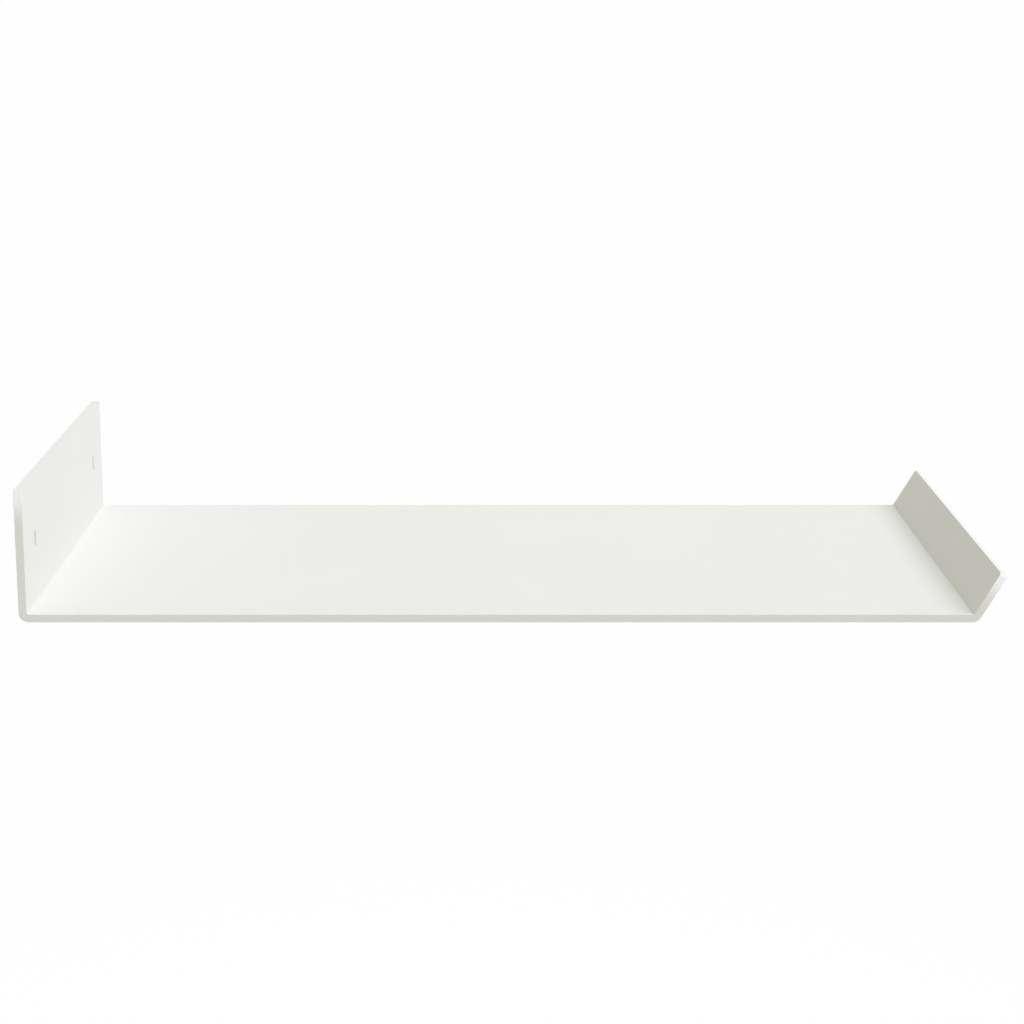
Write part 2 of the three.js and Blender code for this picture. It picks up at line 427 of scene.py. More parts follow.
@dataclass(frozen=True)
class PowderCoat:
    """A matte powder coat: baked grains that flowed together.

    The skin has a soft waviness a few millimetres long with a fine grain on it. Its tone drifts
    slightly. The edges get a painted shade, partly for the thin coat there and partly to damp
    the lamp's highlight on them, and the inside corners of the bends get a painted shade.
    """

    name: str
    colour: Colour
    roughness: float = 0.5
    roughness_spread: float = 0.04
    wave_length: float = 0.0032
    wave_height: float = 0.000016
    wave_detail: float = 1.0
    grain_length: float = 0.0009
    grain_height: float = 0.0000022
    grain_detail: float = 2.0
    cloud_length: float = 0.11
    cloud_detail: float = 3.0
    tone_spread: float = 0.009
    # Painted shade: edges a shade darker, partly for the thin coat there, partly to damp the lamp's
    # highlight on them.
    edge_shade_tone: float = 0.92
    # Painted shade in the inside corners of the bends.
    crease_shade_tone: float = 0.93
    edge_polish: float = 0.03

    def material(self) -> Material:
        """Builds the material.

        Returns:
            The material.
        """
        made = bpy.data.materials.new(self.name)
        tree = NodeTree(made)
        at = tree.places()
        wave = tree.noise(at, self.wave_length, self.wave_detail)
        grain = tree.noise(at, self.grain_length, self.grain_detail)
        cloud = tree.noise(at, self.cloud_length, self.cloud_detail)
        edge = tree.share(EDGE_ATTRIBUTE)
        tone = tree.spread(cloud, 1, self.tone_spread)
        # Painted shade on the edges, partly standing for the thin coat there and partly damping
        # their highlight.
        edge_shaded_tone = tree.math("MULTIPLY_ADD", edge, self.edge_shade_tone - 1, tone)
        # Painted shade in the inside corners of the bends, where the hollow share is 1.
        hollow = tree.share(HOLLOW_ATTRIBUTE)
        crease_shaded_tone = tree.math("MULTIPLY_ADD", hollow, self.crease_shade_tone - 1, edge_shaded_tone)
        colour = tree.add("HueSaturation", {"Value": crease_shaded_tone, "Color": self.colour})
        even = tree.spread(wave, self.roughness, self.roughness_spread)
        rough = tree.math("MULTIPLY_ADD", edge, -self.edge_polish, even)
        fine = tree.math("MULTIPLY", grain, self.grain_height)
        skin = tree.math("MULTIPLY_ADD", wave, self.wave_height, fine)
        tree.surface(colour.outputs[0], rough, skin)
        return made


@dataclass(frozen=True)
class ZincPlate:
    """Zinc plating on turned steel: turning rings, cloudy passivation, and crests rubbed bright."""

    name: str
    colour: Colour
    straw: Colour
    bright: Colour
    roughness: float = 0.34
    roughness_spread: float = 0.07
    ring_pitch: float = 0.00069115
    ring_height: float = 0.0000012
    ring_wobble: float = 0.4
    cloud_length: float = 0.0022
    cloud_detail: float = 3.0
    speck_length: float = 0.0005
    speck_height: float = 0.000002
    speck_detail: float = 2.0
    edge_share: float = 0.5
    edge_polish: float = 0.08

    def material(self) -> Material:
        """Builds the material.

        Returns:
            The material.
        """
        made = bpy.data.materials.new(self.name)
        tree = NodeTree(made)
        at = tree.places()
        cloud = tree.noise(at, self.cloud_length, self.cloud_detail)
        speck = tree.noise(at, self.speck_length, self.speck_detail)
        edge = tree.share(EDGE_ATTRIBUTE)
        plated = tree.blend(tree.spread(cloud, 0.5, 0.5), self.colour, self.straw)
        rubbed = tree.blend(tree.math("MULTIPLY", edge, self.edge_share), plated, self.bright)
        scale = RING_PITCH / self.ring_pitch
        inputs = {"Vector": at, "Scale": scale, "Distortion": self.ring_wobble}
        rings = tree.add("TexWave", inputs, wave_type="RINGS", rings_direction="Z")
        turned = tree.math("MULTIPLY", rings.outputs["Fac"], self.ring_height)
        skin = tree.math("MULTIPLY_ADD", speck, self.speck_height, turned)
        even = tree.spread(cloud, self.roughness, -self.roughness_spread)
        rough = tree.math("MULTIPLY_ADD", edge, -self.edge_polish, even)
        tree.surface(rubbed, rough, skin, metallic=1.0)
        return made


def dress(body: Object, material: Material, node: str) -> None:
    """Gives a piece its finish, and sets it on the shelf in place of its solid.

    Args:
        body: the piece.
        material: its finish.
        node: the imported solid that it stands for.
    """
    body.data.materials.clear()
    body.data.materials.append(material)
    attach(body, BODY)
    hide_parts(node)
    log.info("%s: %d faces, finish %s", body.name, len(body.data.polygons), material.name)


# Folded plates


class FoldPlane(Enum):
    """How the plane in which a blank is folded stands to the wall."""

    ALONG_WALL = "along the wall"
    FROM_WALL = "out from the wall"

    def place(self, out: float, across: float, level: float) -> Vector:
        """Where a point goes.

        Args:
            out: how far along the fold plane it is.
            across: how far along the blank's width it is.
            level: its height.

        Returns:
            The point.
        """
        if self is FoldPlane.ALONG_WALL:
            return Vector((out, across, level))
        return Vector((across, -out, level))


@dataclass(frozen=True)
class Run:
    """One stretch of a blank: a straight length, or a left-hand bend in degrees."""

    straight: float = 0.0
    turn: float = 0.0


@dataclass(frozen=True)
class LaidRun:
    """A run with its place along the blank and in the fold plane."""

    turn: float
    along: Vector
    inward: Vector
    start: Vector
    begin: float
    end: float


@dataclass(frozen=True)
class FoldedBlank:
    """A flat blank with rounded corners and eased edges, folded along its bends."""

    runs: tuple[Run, ...]
    start: tuple[float, float]
    heading: float
    width: float
    thickness: float
    bend_radius: float
    corner_radius: float
    ease: float
    plane: FoldPlane
    middle: float = 0.0
    ease_steps: int = 6
    corner_steps: int = 12
    bend_steps: int = 36

    def laid(self) -> list[LaidRun]:
        """Lays the runs one after another along the blank's inner face.

        Returns:
            The runs with their places.
        """
        mid_radius = self.bend_radius + self.thickness / 2
        at = Vector(self.start)
        angle = math.radians(self.heading)
        travelled = 0.0
        laid = []
        for run in self.runs:
            turn = math.radians(run.turn)
            along = Vector((math.cos(angle), math.sin(angle)))
            inward = Vector((-along.y, along.x))
            length = turn * mid_radius if turn else run.straight
            laid.append(LaidRun(turn, along, inward, at.copy(), travelled, travelled + length))
            if turn:
                centre = at + inward * self.bend_radius
                at = centre + Matrix.Rotation(turn, 2) @ (at - centre)
            else:
                at = at + along * run.straight
            angle += turn
            travelled += length
        return laid

    def folded(self, laid: Sequence[LaidRun], on_blank: float, depth: float) -> Vector:
        """Where a point of the flat blank goes in the fold plane.

        Args:
            laid: the laid runs.
            on_blank: how far along the blank it is.
            depth: how far below the inner face it is.

        Returns:
            The point in the fold plane.
        """
        run = next((r for r in laid if on_blank <= r.end), laid[-1])
        if not run.turn:
            return run.start + run.along * (on_blank - run.begin) - run.inward * depth
        turned = run.turn * (on_blank - run.begin) / (run.end - run.begin)
        centre = run.start + run.inward * self.bend_radius
        return centre + Matrix.Rotation(turned, 2) @ (run.start - run.inward * depth - centre)

    def layers(self) -> list[tuple[float, float]]:
        """Depths below the inner face, each with how far the eased edge stands in there."""
        upper = [(self.ease * (1 - c), self.ease * (1 - s)) for s, c in quarter(self.ease_steps)]
        return upper + [(self.thickness - depth, inset) for depth, inset in reversed(upper)]

    def side(self, laid: Sequence[LaidRun], inset: float) -> list[tuple[float, float]]:
        """One long side of the blank's outline, from end to end.

        Args:
            laid: the laid runs.
            inset: how far the side stands in from the outline.

        Returns:
            Places along the blank, each with the half width there.
        """
        radius, half = self.corner_radius - inset, self.width / 2
        arc = [
            (self.corner_radius - radius * c, half - self.corner_radius + radius * s)
            for s, c in quarter(self.corner_steps)
        ]
        bends = [
            (run.begin + (run.end - run.begin) * i / self.bend_steps, half - inset)
            for run in laid if run.turn for i in range(self.bend_steps + 1)
        ]
        length = laid[-1].end
        far = [(length - place, across) for place, across in reversed(arc)]
        return arc + bends + far

    def shell(self) -> Shell:
        """Builds the folded body.

        Returns:
            The closed shell.
        """
        laid = self.laid()
        shell = Shell()
        rings = []
        for depth, inset in self.layers():
            side = [(self.folded(laid, at, depth), across) for at, across in self.side(laid, inset)]
            near = [self.plane.place(at.x, self.middle - across, at.y) for at, across in side]
            side.reverse()
            far = [self.plane.place(at.x, self.middle + across, at.y) for at, across in side]
            rings.append(shell.add(near + far))
        for upper, lower in zip(rings, rings[1:]):
            shell.bridge(upper, lower)
        for ring in (rings[0], rings[-1]):
            for j in range(len(ring) // 2 - 1):
                shell.faces.append((ring[j], ring[j + 1], ring[-2 - j], ring[-1 - j]))
        return shell


# Cutters


def flared_levels(depth: float, ease: float) -> list[tuple[float, float]]:
    """Levels through a hole whose rims are eased at both faces.

    Args:
        depth: the thickness that the hole goes through, centred on level 0.
        ease: the radius of the eased rims.

    Returns:
        Pairs of level and how much wider the hole is there, from below to above.
    """
    below = [(-depth / 2 - RIM_STAND_OFF * ease, RIM_FLARE * ease)]
    below += [(-depth / 2 + ease * (1 - c), ease * (1 - s)) for s, c in quarter(RIM_STEPS)[1:]]
    return below + [(-level, wider) for level, wider in reversed(below)]


def slot_outline(length: float, width: float, level: float) -> list[Vector]:
    """A slot with round ends, its long way along x.

    Args:
        length: its length over all.
        width: its width.
        level: its height.

    Returns:
        The points, counterclockwise.
    """
    radius, reach, half = width / 2, (length - width) / 2, HOLE_SIDES // 2
    points = []
    for middle, first in ((reach, -math.pi / 2), (-reach, math.pi / 2)):
        for i in range(half):
            turn = first + math.pi * i / (half - 1)
            x, y = middle + radius * math.cos(turn), radius * math.sin(turn)
            points.append(Vector((x, y, level)))
    return points


def slot_cutter(length: float, width: float, depth: float, ease: float) -> Shell:
    """A cutter for a slot with eased rims, through a plate centred on level 0.

    Args:
        length: the slot's length over all.
        width: its width.
        depth: the plate's thickness.
        ease: the radius of the rims.

    Returns:
        The cutter, its long way along x.
    """
    rings = [
        slot_outline(length + 2 * wider, width + 2 * wider, level)
        for level, wider in flared_levels(depth, ease)
    ]
    return Shell().stack(rings)


def hole_cutter(radius: float, depth: float, ease: float) -> Shell:
    """A cutter for a round hole with eased rims, through a plate that is centred on level 0."""
    levels = flared_levels(depth, ease)
    return Shell().stack([circle(radius + wider, level, HOLE_SIDES) for level, wider in levels])


def drill_cutter(radius: float, depth: float, rim: float) -> Shell:
    """A cutter for a drilled blind hole, from level 0 up.

    Args:
        radius: the hole's radius.
        depth: its depth to the flat of the drill.
        rim: the width of the chamfer at its mouth.

    Returns:
        The cutter.
    """
    tip = radius * DRILL_TIP_SHARE
    profile = [(radius + 2 * rim, -rim), (radius, rim), (radius, depth), (tip, depth + tip)]
    return Shell().stack(lathe(profile, HOLE_SIDES))


# The shelf's own pieces


@dataclass(frozen=True)
class ShelfPlate:
    """The thick folded plate: a long level shelf, a tall upright end and a short leaning end."""

    node: str = "shelf_plate"
    thickness: float = 0.00635
    depth: float = 0.254
    inner_length: float = 0.731
    tall_end_height: float = 0.1
    leaning_end_length: float = 0.039
    lean_from_upright: float = 30
    bend_radius: float = 0.001
    corner_radius: float = 0.003
    ease: float = 0.0004
    underside: float = 0.024
    slot_length: float = 0.0127
    slot_width: float = 0.0026
    slot_edge_distance: float = 0.03175
    slot_height_share: float = 0.5
    slot_ease: float = 0.0003
    drill_radius: float = 0.0028
    drill_depth: float = 0.0047
    drill_rim: float = 0.0002

    @property
    def top(self) -> float:
        """The level of the shelf's upper face."""
        return self.underside + self.thickness

    @property
    def left(self) -> float:
        """Where the inner face of the tall end is."""
        return -self.inner_length / 2

    def blank(self) -> FoldedBlank:
        """The plate as a folded blank.

        Returns:
            The blank.
        """
        lean_turn = 90 - self.lean_from_upright
        setback = self.bend_radius * math.tan(math.radians(lean_turn) / 2)
        return FoldedBlank(
            runs=(
                Run(straight=self.tall_end_height - self.bend_radius),
                Run(turn=90),
                Run(straight=self.inner_length - self.bend_radius - setback),
                Run(turn=lean_turn),
                Run(straight=self.leaning_end_length - setback),
            ),
            start=(self.left, self.top + self.tall_end_height),
            heading=-90,
            width=self.depth,
            thickness=self.thickness,
            bend_radius=self.bend_radius,
            corner_radius=self.corner_radius,
            ease=self.ease,
            plane=FoldPlane.ALONG_WALL,
            middle=-self.depth / 2,
        )

    def cutters(self, screw_places: Places) -> list[Shell]:
        """The slots through the tall end and the blind holes for the plate screws.

        Args:
            screw_places: where the plate screws stand.

        Returns:
            The cutters.
        """
        slot = slot_cutter(self.slot_length, self.slot_width, self.thickness, self.slot_ease)
        upright = Matrix.Rotation(math.pi / 2, 4, "Y")
        level = self.top + self.slot_height_share * self.tall_end_height
        made = []
        for y in (-self.slot_edge_distance, self.slot_edge_distance - self.depth):
            place = Matrix.Translation((self.left - self.thickness / 2, y, level))
            made.append(slot.placed(place @ upright))
        drill = drill_cutter(self.drill_radius, self.drill_depth, self.drill_rim)
        made += [drill.placed(Matrix.Translation((p.x, p.y, self.underside))) for p in screw_places]
        return made

    def front_tips(self, inset: float) -> list[tuple[Vector, Vector]]:
        """Places on the plate's front edge near both free ends, in the middle of its thickness.

        Args:
            inset: how far they are from the ends.

        Returns:
            The places on the tall end and the leaning end, each with the way on towards its end.
        """
        lean = math.radians(self.lean_from_upright)
        along = Vector((math.sin(lean), 0, math.cos(lean)))
        outward = Vector((math.cos(lean), 0, -math.sin(lean)))
        tip = self.top + self.tall_end_height
        tall = Vector((self.left - self.thickness / 2, -self.depth, tip - inset))
        leaning = Vector((-self.left, -self.depth, self.top))
        leaning += along * (self.leaning_end_length - inset) + outward * self.thickness / 2
        return [(tall, Vector((0, 0, 1))), (leaning, along)]

    def build(self, coat: Material, screw_places: Places) -> None:
        """Builds the plate in its coat, with the holes for the screws."""
        body = finished("folded_plate", self.blank().shell(), self.cutters(screw_places))
        dress(body, coat, self.node)


@dataclass(frozen=True)
class WallRail:
    """A folded steel angle: one leg lies on the wall, the other reaches out under the plate."""

    node: str = "wall_rail"
    length: float = 0.621
    thickness: float = 0.004
    drop: float = 0.04
    reach: float = 0.05
    bend_radius: float = 0.002
    corner_radius: float = 0.006
    ease: float = 0.0005
    top: float = 0.024
    hole_radius: float = 0.0028
    slot_length: float = 0.014
    slot_width: float = 0.006
    rim: float = 0.0003

    def blank(self) -> FoldedBlank:
        """The rail as a folded blank.

        Returns:
            The blank.
        """
        return FoldedBlank(
            runs=(
                Run(straight=self.reach - self.thickness - self.bend_radius),
                Run(turn=90),
                Run(straight=self.drop - self.thickness - self.bend_radius),
            ),
            start=(self.reach, self.top - self.thickness),
            heading=180,
            width=self.length,
            thickness=self.thickness,
            bend_radius=self.bend_radius,
            corner_radius=self.corner_radius,
            ease=self.ease,
            plane=FoldPlane.FROM_WALL,
        )

    def build(self, coat: Material, plate_places: Places, wall_places: Places) -> None:
        """Builds and dresses the rail.

        Args:
            coat: its finish.
            plate_places: where the plate screws pass through it.
            wall_places: where the wall screws pass through it.
        """
        hole = hole_cutter(self.hole_radius, self.thickness, self.rim)
        slot = slot_cutter(self.slot_length, self.slot_width, self.thickness, self.rim)
        half = self.thickness / 2
        level = self.top - half
        upright = Matrix.Rotation(math.pi / 2, 4, "X")
        cutters = [hole.placed(Matrix.Translation((p.x, p.y, level))) for p in plate_places]
        for p in wall_places:
            cutters.append(slot.placed(Matrix.Translation((p.x, -half, p.z)) @ upright))
        dress(finished("rail", self.blank().shell(), cutters), coat, self.node)


@dataclass(frozen=True)
class Thread:
    """A screw thread that follows its helix, fading out at both ends.

    Over its taper it narrows to a point, and the crests narrow later than the root.
    """

    pitch: float
    crest_radius: float
    root_radius: float
    fade_in: float
    fade_out: float
    taper: float = 0.0
    point_radius: float = 0.0
    crest_share: float = 0.12
    flank_share: float = 0.6
    crest_bulge: float = 0.7
    steps: int = 10

    def profile(self, phase: float) -> float:
        """The height at a place across one pitch, 0 to 1: 0 at the root and 1 at the crest."""
        off_crest = abs(phase - 0.5) - self.crest_share / 2
        return min(1.0, max(0.0, 1 - off_crest / (self.flank_share / 2)))

    def radius(self, phase: float, level: float, start: float, end: float) -> float:
        """The radius at one point of the thread.

        Args:
            phase: the place across one pitch, 0 to 1.
            level: the height.
            start: where the thread starts.
            end: where it ends.

        Returns:
            The radius.
        """
        to_point = min(1.0, (end - level) / self.taper) if self.taper else 1.0
        point = self.point_radius
        root = point + (self.root_radius - point) * to_point
        crest = point + (self.crest_radius - point) * to_point ** self.crest_bulge
        fade = min(1.0, (level - start) / self.fade_in, (end - level) / self.fade_out)
        return root + (crest - root) * self.profile(phase) * max(0.0, fade)

    def add_to(self, shell: Shell, start: float, end: float, sides: int) -> None:
        """Adds the threaded length to a screw, and closes its tip.

        Each row of points climbs by one pitch on its way round, to the row one pitch further on.

        Args:
            shell: the screw's shell.
            start: where the thread starts.
            end: where it ends.
            sides: how many sides the screw has.
        """
        turns = math.ceil((end - start) / self.pitch) + 2
        rows = []
        for k in range(turns * self.steps + 1):
            row = []
            for j in range(sides):
                rise = self.pitch * (k / self.steps - 1 + j / sides)
                level = min(end, max(start, start + rise))
                radius = self.radius(k / self.steps % 1, level, start, end)
                turn = 2 * math.pi * j / sides
                row.append(Vector((radius * math.cos(turn), radius * math.sin(turn), level)))
            rows.append(shell.add(row))
        for k, (lower, upper) in enumerate(zip(rows, rows[1:])):
            for j in range(sides - 1):
                shell.faces.append((lower[j], lower[j + 1], upper[j + 1], upper[j]))
            far = k + self.steps
            if far + 1 < len(rows):
                shell.faces.append((lower[-1], rows[far][0], rows[far + 1][0], upper[-1]))
        tip = self.point_radius if self.taper else self.root_radius
        shell.faces.append(tuple(shell.add(circle(tip, end, sides))))


def dome(radius: float, height: float, rim: float, ease: float) -> list[ProfilePoint]:
    """Half the outline of a domed head that stands on level 0 and reaches down.

    Args:
        radius: the head's radius.
        height: its height.
        rim: the height of its upright rim.
        ease: the radius where the dome runs into the rim. The seat's edge has half of it.

    Returns:
        Radii and levels, from the crown to the seat.
    """
    rise = height - rim
    sphere = (radius ** 2 + rise ** 2) / (2 * rise)
    reach = radius - ease
    points = []
    for i in range(DOME_STEPS + 1):
        across = reach * (CROWN_SHARE + (1 - CROWN_SHARE) * i / DOME_STEPS)
        points.append((across, -rim - (rise - sphere) - math.sqrt(sphere ** 2 - across ** 2)))
    shoulder = points[-1][1]
    drop = min(ease, -shoulder - ease / 2)
    points += [(reach + ease * s, shoulder + drop * (1 - c)) for s, c in quarter(SOFT_STEPS)[1:]]
    points += [(radius - ease / 2 * (1 - c), -ease / 2 * (1 - s)) for s, c in quarter(CRISP_STEPS)]
    return points


@dataclass(frozen=True, kw_only=True)
class TurnedPiece:
    """A small turned piece that repeats along a row, each one turned its own way about its axis."""

    name: str
    node: str
    sides: int
    tilt: float = 0
    first_turn: float = 0
    turn_step: float

    def form(self) -> Shell:
        """The piece before it is cut, with its seat at level 0."""
        raise NotImplementedError

    def cutters(self) -> list[Shell]:
        """What is cut out of the piece: nothing, unless its kind says so."""
        return []

    def build(self, finish: Material, places: Places) -> None:
        """Builds the piece once, and dresses one for each place.

        Args:
            finish: their finish.
            places: the middle of each seat.
        """
        first = finished(self.name, self.form(), self.cutters())
        mesh = first.data
        bpy.data.objects.remove(first)
        tilt = Matrix.Rotation(math.radians(self.tilt), 4, "X")
        for i, place in enumerate(places):
            body = link(f"{self.name}_{i + 1}", mesh)
            turn = Matrix.Rotation(math.radians(self.first_turn + self.turn_step * i), 4, "Z")
            body.matrix_world = Matrix.Translation(place) @ tilt @ turn
            dress(body, finish, self.node.format(i + 1))


@dataclass(frozen=True, kw_only=True)
class Screw(TurnedPiece):
    """A screw with a domed head, made head down, with its tip up."""

    length: float
    head_radius: float
    head_height: float
    rim: float
    ease: float
    thread: Thread

    def neck(self) -> list[ProfilePoint]:
        """The outline from the head's seat to where the thread starts."""
        return [(self.thread.root_radius, 0.0)]

    def form(self) -> Shell:
        """Builds the screw before its head is cut.

        Returns:
            The shell.
        """
        head = dome(self.head_radius, self.head_height, self.rim, self.ease)
        profile = head + self.neck()
        shell = Shell().stack(lathe(profile, self.sides), open_end=True)
        self.thread.add_to(shell, profile[-1][1], self.length, self.sides)
        return shell


@dataclass(frozen=True, kw_only=True)
class MachineScrew(Screw):
    """A button-head machine screw with a hexagon socket, head down under the rail."""

    name: str = "machine_screw"
    node: str = "plate_screw_{}"
    sides: int = 48
    turn_step: float = 67
    length: float = 0.008
    head_radius: float = 0.00475
    head_height: float = 0.00275
    rim: float = 0.0003
    ease: float = 0.0002
    thread: Thread = Thread(
        pitch=0.0008, crest_radius=0.0025, root_radius=0.00206, fade_in=0.0006, fade_out=0.0006
    )
    socket_sides: int = 6
    socket_flats: float = 0.003
    socket_depth: float = 0.0016
    socket_chamfer: float = 0.00015
    point_narrowing: float = 3
    point_depth_share: float = 0.25

    def cutters(self) -> list[Shell]:
        """The hexagon socket, with a chamfered mouth and the drill's point at its bottom.

        Returns:
            The cutter.
        """
        corner = self.socket_flats / 2 / math.cos(math.pi / self.socket_sides)
        crown = -self.head_height
        floor = crown + self.socket_depth
        wide = corner + self.socket_chamfer
        profile = [
            (wide + self.socket_chamfer, crown - self.socket_chamfer),
            (wide, crown),
            (corner, crown + 2 * self.socket_chamfer),
            (corner, floor),
            (corner / self.point_narrowing, floor + corner * self.point_depth_share),
        ]
        return [Shell().stack(lathe(profile, self.socket_sides))]


@dataclass(frozen=True, kw_only=True)
class WallScrew(Screw):
    """A pan-head screw with a cross recess and a coarse pointed thread, driven into the wall."""

    name: str = "pan_head_screw"
    node: str = "wall_screw_{}"
    sides: int = 40
    tilt: float = -90
    first_turn: float = 20
    turn_step: float = 131
    length: float = 0.04
    head_radius: float = 0.0048
    head_height: float = 0.0032
    rim: float = 0.0011
    ease: float = 0.0004
    thread: Thread = Thread(
        pitch=0.0019, crest_radius=0.0025, root_radius=0.0017, fade_in=0.0012, fade_out=0.0006,
        taper=0.0065, point_radius=0.00015,
    )
    neck_length: float = 0.0025
    neck_fillet_share: float = 1 / 6
    cross_span: float = 0.0046
    cross_width: float = 0.0011
    cross_depth: float = 0.002
    cross_fillet_share: float = 0.6
    cross_fillet_middle: float = 0.25
    # For each level of the recess, shares of its depth, span and width.
    cross_levels: tuple[tuple[float, float, float], ...] = (
        (-0.25, 1.06, 1.04), (0.0, 1.0, 1.0), (0.75, 0.7, 0.8), (1.0, 0.3, 0.5)
    )

    def neck(self) -> list[ProfilePoint]:
        """The outline of the fillet under the head and the plain neck.

        Returns:
            Radii and levels, from the seat to where the thread starts.
        """
        root = self.thread.root_radius
        fillet = root * self.neck_fillet_share
        curve = [(root + fillet * (1 - s), fillet * (1 - c)) for s, c in quarter(SOFT_STEPS)]
        return curve + [(root, self.neck_length)]

    def cutters(self) -> list[Shell]:
        """The cross recess, which narrows as it goes down.

        Returns:
            The cutter.
        """
        rings = []
        for depth, span, width in self.cross_levels:
            level = -self.head_height + self.cross_depth * depth
            reach, half = self.cross_span * span / 2, self.cross_width * width / 2
            rings.append(self.cross(reach, half, level))
        return [Shell().stack(rings)]

    def cross(self, reach: float, half: float, level: float) -> list[Vector]:
        """The outline of a cross with filleted inner corners.

        Args:
            reach: the length of each arm from the middle.
            half: half of each arm's width.
            level: its height.

        Returns:
            The points, counterclockwise.
        """
        fillet = half * self.cross_fillet_share
        start, middle = half + fillet, half + fillet * self.cross_fillet_middle
        arm = [(reach, -half), (reach, half), (start, half), (middle, middle), (half, start)]
        points = []
        for quarter_turn in range(4):
            turn = Matrix.Rotation(quarter_turn * math.pi / 2, 2)
            points += [Vector((*(turn @ Vector(p)), level)) for p in arm]
        return points


@dataclass(frozen=True, kw_only=True)
class Washer(TurnedPiece):
    """A broad stamped washer over the rail's slot, rounded on its struck side only."""

    name: str = "broad_washer"
    node: str = "wall_washer_{}"
    sides: int = 72
    tilt: float = -90
    turn_step: float = 50
    radius: float = 0.0075
    bore: float = 0.0028
    thickness: float = 0.0012
    ease: float = 0.00025
    burr: float = 0.00008

    def form(self) -> Shell:
        """Builds the washer, with its struck side at level 0.

        Returns:
            The shell.
        """
        soft, crisp = quarter(SOFT_STEPS), quarter(CRISP_STEPS)
        top, low, back = self.ease, self.burr, self.thickness
        profile = [(self.bore + low * (1 - s), back - low * (1 - c)) for s, c in crisp]
        profile += [(self.bore + top * (1 - c), top * (1 - s)) for s, c in soft]
        profile += [(self.radius - top * (1 - s), top * (1 - c)) for s, c in soft]
        profile += [(self.radius - low * (1 - c), back - low * (1 - s)) for s, c in crisp]
        return Shell().hoop(lathe(profile, self.sides))


@dataclass(frozen=True)
class FixingLayout:
    """Where the screws stand: in a row under the plate, and between them on the wall."""

    plate_screws: int = 5
    pitch: float = 0.14025
    setback: float = 0.03
    plate_seat: float = 0.02
    wall_level: float = 0.0
    rail_thickness: float = 0.004
    washer_thickness: float = 0.0012

    def plate_places(self) -> list[Vector]:
        """The seats of the plate screws' heads."""
        seat = (-self.setback, self.plate_seat)
        return [Vector((x, *seat)) for x in row_places(self.plate_screws, self.pitch)]

    def wall_places(self) -> list[Vector]:
        """The seats of the wall screws' heads, on the washers."""
        seat = (-self.rail_thickness - self.washer_thickness, self.wall_level)
        return [Vector((x, *seat)) for x in row_places(self.plate_screws - 1, self.pitch)]


# The studio


def background_share(tree: NodeTree) -> NodeSocket:
    """A share that is 1 for what is seen or mirrored, and 0 for what lights the object."""
    path = tree.add("LightPath").outputs
    return tree.math("MAXIMUM", path["Is Camera Ray"], path["Is Glossy Ray"])


@dataclass(frozen=True)
class Studio:
    """A white room: an even glow, one broad soft lamp up on the right, and a pale floor below."""

    background: float = 0.991
    glow: Colour = (0.515, 0.515, 0.44)
    lamp_from: tuple[float, float, float] = (0.57, -0.182, 0.801)
    lamp_colour: Colour = (0.85, 0.85, 0.99)
    lamp_strength: float = 2.355
    lamp_spread: float = 40
    floor_level: float = -1.2
    floor_radius: float = 12
    floor_sides: int = 96
    floor_colour: Colour = (0.845, 0.845, 0.805)
    floor_white: Colour = (0.98, 0.98, 0.98)
    shadow_share: float = 0.85
    shadow_reach: float = 0.9
    shadow_end: float = 2.0

    def build(self) -> None:
        """Builds the floor, the world and the lamp."""
        self.build_floor()
        self.build_world()
        self.build_lamp()
        log.info("studio: floor at %.2f m", self.floor_level)

    def build_floor(self) -> None:
        """Builds the floor. It takes the object's shadow, and further off it is white."""
        work = bmesh.new()
        sides, radius = self.floor_sides, self.floor_radius
        bmesh.ops.create_circle(work, cap_ends=True, segments=sides, radius=radius)
        mesh = bpy.data.meshes.new("floor")
        work.to_mesh(mesh)
        work.free()
        floor = link("floor", mesh)
        floor.location.z = self.floor_level
        material = bpy.data.materials.new("pale_floor")
        tree = NodeTree(material)
        lit = tree.add("BsdfDiffuse", {"Color": self.floor_colour}).outputs[0]
        shown = tree.add("BsdfDiffuse", {"Color": self.floor_white}).outputs[0]
        white = tree.add("Emission", {"Color": WHITE, "Strength": self.background})
        length = tree.add("VectorMath", {0: tree.places()}, operation="LENGTH")
        inputs = {"Value": length.outputs["Value"], 3: self.shadow_share, 4: 0.0}
        inputs |= {1: self.shadow_reach, 2: self.shadow_end}
        share = tree.add("MapRange", inputs, interpolation_type="SMOOTHSTEP").outputs[0]
        seen = tree.add("MixShader", {0: share, 1: white.outputs[0], 2: shown}).outputs[0]
        whole = tree.add("MixShader", {0: background_share(tree), 1: lit, 2: seen})
        tree.add("OutputMaterial", {"Surface": whole.outputs[0]})
        mesh.materials.append(material)

    def build_world(self) -> None:
        """Builds the even glow, with the white background behind it."""
        world = bpy.data.worlds.new("studio")
        bpy.context.scene.world = world
        tree = NodeTree(world)
        glow = tree.add("Background", {"Color": self.glow}).outputs[0]
        inputs = {"Color": WHITE, "Strength": self.background}
        white = tree.add("Background", inputs).outputs[0]
        both = tree.add("MixShader", {0: background_share(tree), 1: glow, 2: white})
        tree.add("OutputWorld", {"Surface": both.outputs[0]})

    def build_lamp(self) -> None:
        """Builds the broad soft lamp."""
        lamp = bpy.data.lights.new("soft_lamp", "SUN")
        lamp.energy = self.lamp_strength
        lamp.color = self.lamp_colour
        lamp.angle = math.radians(self.lamp_spread)
        holder = link("soft_lamp", lamp)
        holder.rotation_euler = Vector(self.lamp_from).to_track_quat("Z", "Y").to_euler()


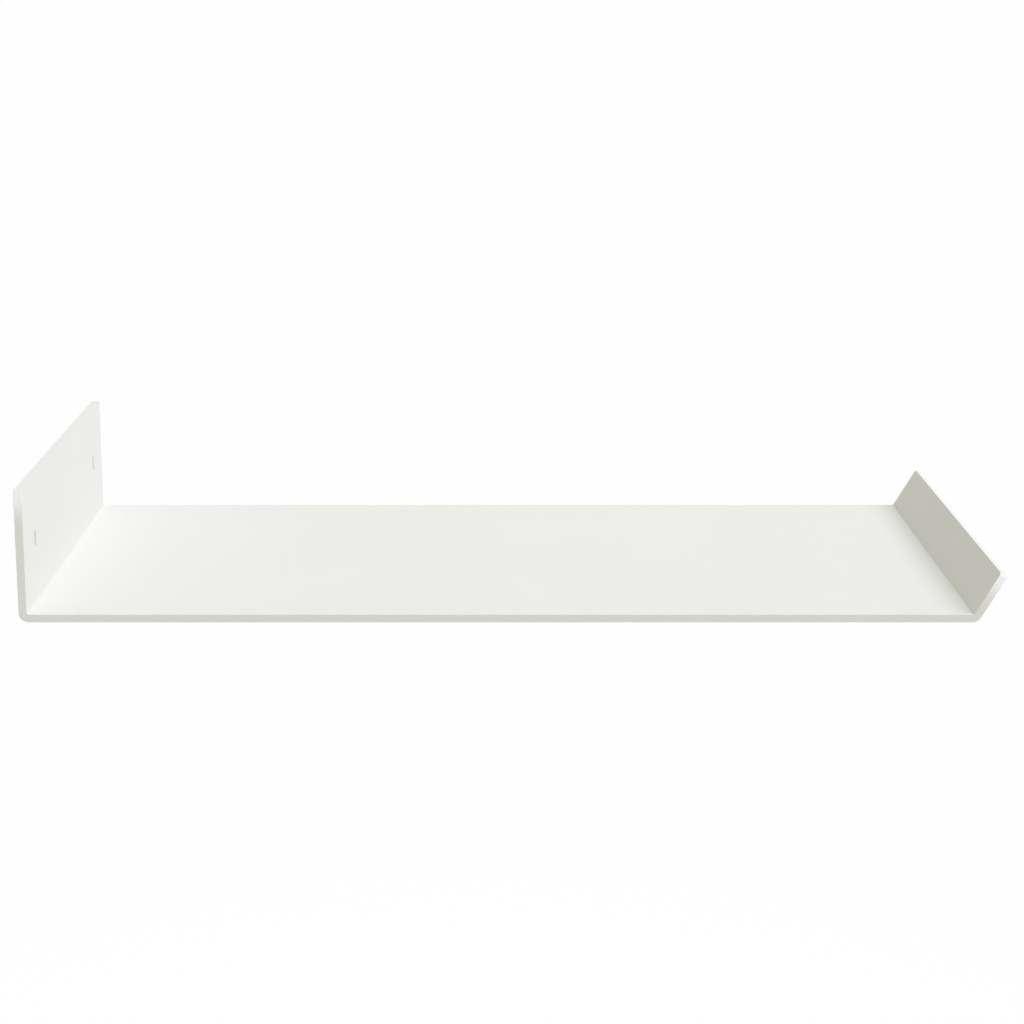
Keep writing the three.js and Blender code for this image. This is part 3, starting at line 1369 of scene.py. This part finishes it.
@dataclass(frozen=True)
class TipLamps:
    """Small weak lamps, low in front, that brighten the front edge towards each free end."""

    colour: Colour = (0.91, 0.92, 1.0)
    strengths: tuple[float, float] = (0.0004, 0.00046)
    inset: float = 0.004
    size: float = 0.014
    reach: float = 0.0165
    distance: float = 2.0
    rise: float = 35

    def build(self, tips: Sequence[tuple[Vector, Vector]]) -> None:
        """Builds one lamp for each end. Its rays rise along the plate, past both of its faces.

        Args:
            tips: the places that they shine at, each with the way on towards the end.
        """
        rise = math.radians(self.rise)
        for i, ((tip, upward), strength) in enumerate(zip(tips, self.strengths)):
            lamp = bpy.data.lights.new(f"tip_lamp_{i + 1}", "AREA")
            lamp.shape = "DISK"
            lamp.size = self.size
            lamp.color = self.colour
            lamp.energy = strength
            lamp.spread = 2 * math.atan(self.reach / self.distance)
            holder = link(f"tip_lamp_{i + 1}", lamp)
            ray = Vector((0, math.cos(rise), 0)) + upward * math.sin(rise)
            holder.location = tip - ray * self.distance
            holder.rotation_euler = (-ray).to_track_quat("Z", "Y").to_euler()
            holder.visible_camera = False
        log.info("tip lamps: %d", len(tips))


@dataclass(frozen=True)
class PhotoCamera:
    """The camera, in front of the shelf and above it, looking slightly down, its lens shifted."""

    place: tuple[float, float, float] = (-0.00954, -1.44571, 0.53374)
    pitch: float = 9.103
    lens: float = 57.218
    sensor: float = 36
    nearest: float = 0.05
    shift_x: float = 0.0235
    shift_y: float = -0.29

    def build(self) -> None:
        """Builds the camera and makes it the scene's own."""
        data = bpy.data.cameras.new("camera")
        data.sensor_width = self.sensor
        data.lens = self.lens
        data.shift_x = self.shift_x
        data.shift_y = self.shift_y
        data.clip_start = self.nearest
        camera = link("camera", data)
        camera.location = self.place
        camera.rotation_euler = (math.radians(90 - self.pitch), 0, 0)
        bpy.context.scene.camera = camera


def main() -> None:
    """Builds the shelf, its fixings and the studio."""
    logging.basicConfig(level=logging.INFO, format="%(name)s: %(message)s")
    plate_coat = PowderCoat("white_powder_coat", colour=(0.8, 0.8, 0.767)).material()
    rail_coat = PowderCoat(
        "rail_powder_coat", colour=(0.78, 0.78, 0.752), roughness=0.55, wave_height=0.00002
    ).material()
    zinc = ZincPlate(
        "zinc_plate", colour=(0.48, 0.5, 0.53), straw=(0.53, 0.52, 0.46), bright=(0.66, 0.68, 0.7)
    ).material()
    layout = FixingLayout()
    plate = ShelfPlate()
    plate.build(plate_coat, layout.plate_places())
    WallRail().build(rail_coat, layout.plate_places(), layout.wall_places())
    MachineScrew().build(zinc, layout.plate_places())
    Washer().build(zinc, layout.wall_places())
    WallScrew().build(zinc, layout.wall_places())
    Studio().build()
    tip_lamps = TipLamps()
    tip_lamps.build(plate.front_tips(tip_lamps.inset))
    PhotoCamera().build()
    bpy.context.scene.view_settings.view_transform = "Standard"


if __name__ == "__main__":
    main()
